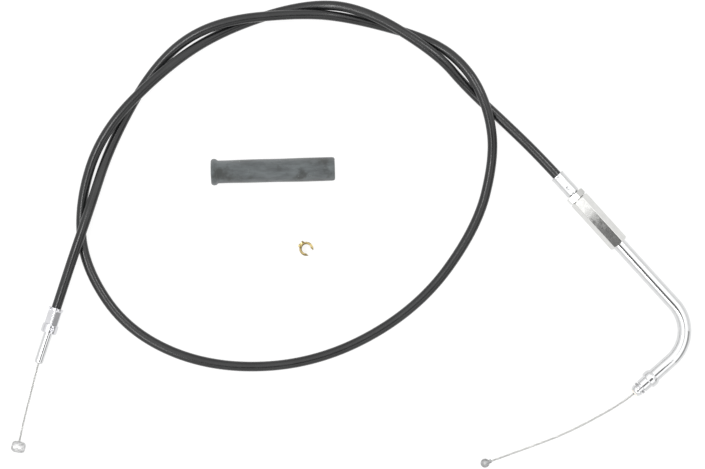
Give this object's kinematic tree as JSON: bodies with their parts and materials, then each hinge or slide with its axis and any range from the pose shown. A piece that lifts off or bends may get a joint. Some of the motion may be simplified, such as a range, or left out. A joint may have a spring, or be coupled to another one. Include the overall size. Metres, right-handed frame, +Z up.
{
  "type": "motorcycle throttle cable",
  "caption": "Motorcycle throttle cable with hex adjuster, bent chrome elbow, sliding inner wire with ball and barrel ends, loose rubber boot and brass ferrule.",
  "frame": {"origin": "on the bench, under the middle of the metal fittings and the loose boot", "axes": "+X from the carburettor end to the elbow, +Z up from the bench"},
  "size_m": [0.3465, 0.2384, 0.0136],
  "materials": {
    "vinyl": "black vinyl jacket, glossy",
    "chrome": "bright chrome plate",
    "spring_steel": "wound spring steel",
    "wire": "stranded galvanised wire",
    "die_cast": "die-cast zinc, matt",
    "liner": "low-friction liner",
    "nylon": "natural nylon",
    "rubber": "dusty black rubber",
    "brass": "bright brass"
  },
  "bodies": {
    "housing": {"cable_jacket": "vinyl", "spiral_conduit": "spring_steel", "conduit_liner": "liner", "inner_wire_run": "wire", "carb_ferrule": "chrome", "carb_nose_tube": "chrome", "throttle_ferrule": "chrome", "adjuster_screw": "chrome"},
    "adjuster_carriage": {"swivel_bush": "nylon"},
    "barrel": {"adjuster_barrel": "chrome"},
    "nut": {"jam_nut": "chrome"},
    "elbow": {"elbow_tube": "chrome", "elbow_liner": "liner", "elbow_wire_run": "wire", "elbow_end_fitting": "chrome", "retaining_ring": "spring_steel", "tip_bush": "nylon"},
    "throttle_pull_wire": {"throttle_wire": "wire", "throttle_ball_end": "die_cast"},
    "carb_pull_wire": {"carb_wire": "wire", "carb_barrel_end": "die_cast"},
    "boot": {"rubber_boot": "rubber"},
    "loose_ferrule": {"brass_ferrule": "brass"}
  },
  "joints": [
    {"name": "adjuster_extend", "type": "slide", "parent": "housing", "child": "adjuster_carriage", "axis": [0.6732, -0.7395, 0], "range_m": [0, 0.01]},
    {"name": "adjuster_turn", "type": "hinge", "parent": "adjuster_carriage", "child": "barrel", "pos_m": [0.11945, 0.03016, 0.0051], "axis": [0.6732, -0.7395, 0], "range_deg": [0, 3601]},
    {"name": "jam_nut_turn", "type": "hinge", "parent": "barrel", "child": "nut", "pos_m": [0.10901, 0.04162, 0.0051], "axis": [0.6732, -0.7395, 0], "range_deg": [-360, 0]},
    {"name": "elbow_swivel", "type": "hinge", "parent": "adjuster_carriage", "child": "elbow", "pos_m": [0.12874, 0.01996, 0.0051], "axis": [0.6732, -0.7395, 0], "range_deg": [-180, 180]},
    {"name": "throttle_pull", "type": "slide", "parent": "elbow", "child": "throttle_pull_wire", "axis": [-0.7476, -0.6641, 0], "range_m": [0, 0.024]},
    {"name": "carb_pull", "type": "slide", "parent": "housing", "child": "carb_pull_wire", "axis": [0.3112, 0.9503, 0], "range_m": [0, 0.024]},
    {"name": "boot_lift", "type": "slide", "parent": "housing", "child": "boot", "axis": [0, 0, 1], "range_m": [0, 0.12]},
    {"name": "brass_lift", "type": "slide", "parent": "housing", "child": "loose_ferrule", "axis": [0, 0, 1], "range_m": [0, 0.12]}
  ],
  "couplings": [
    {"joint": "adjuster_turn", "follows": "adjuster_extend", "rad_per_m": 6283.2},
    {"joint": "carb_pull", "follows": "throttle_pull", "ratio": 1}
  ]
}
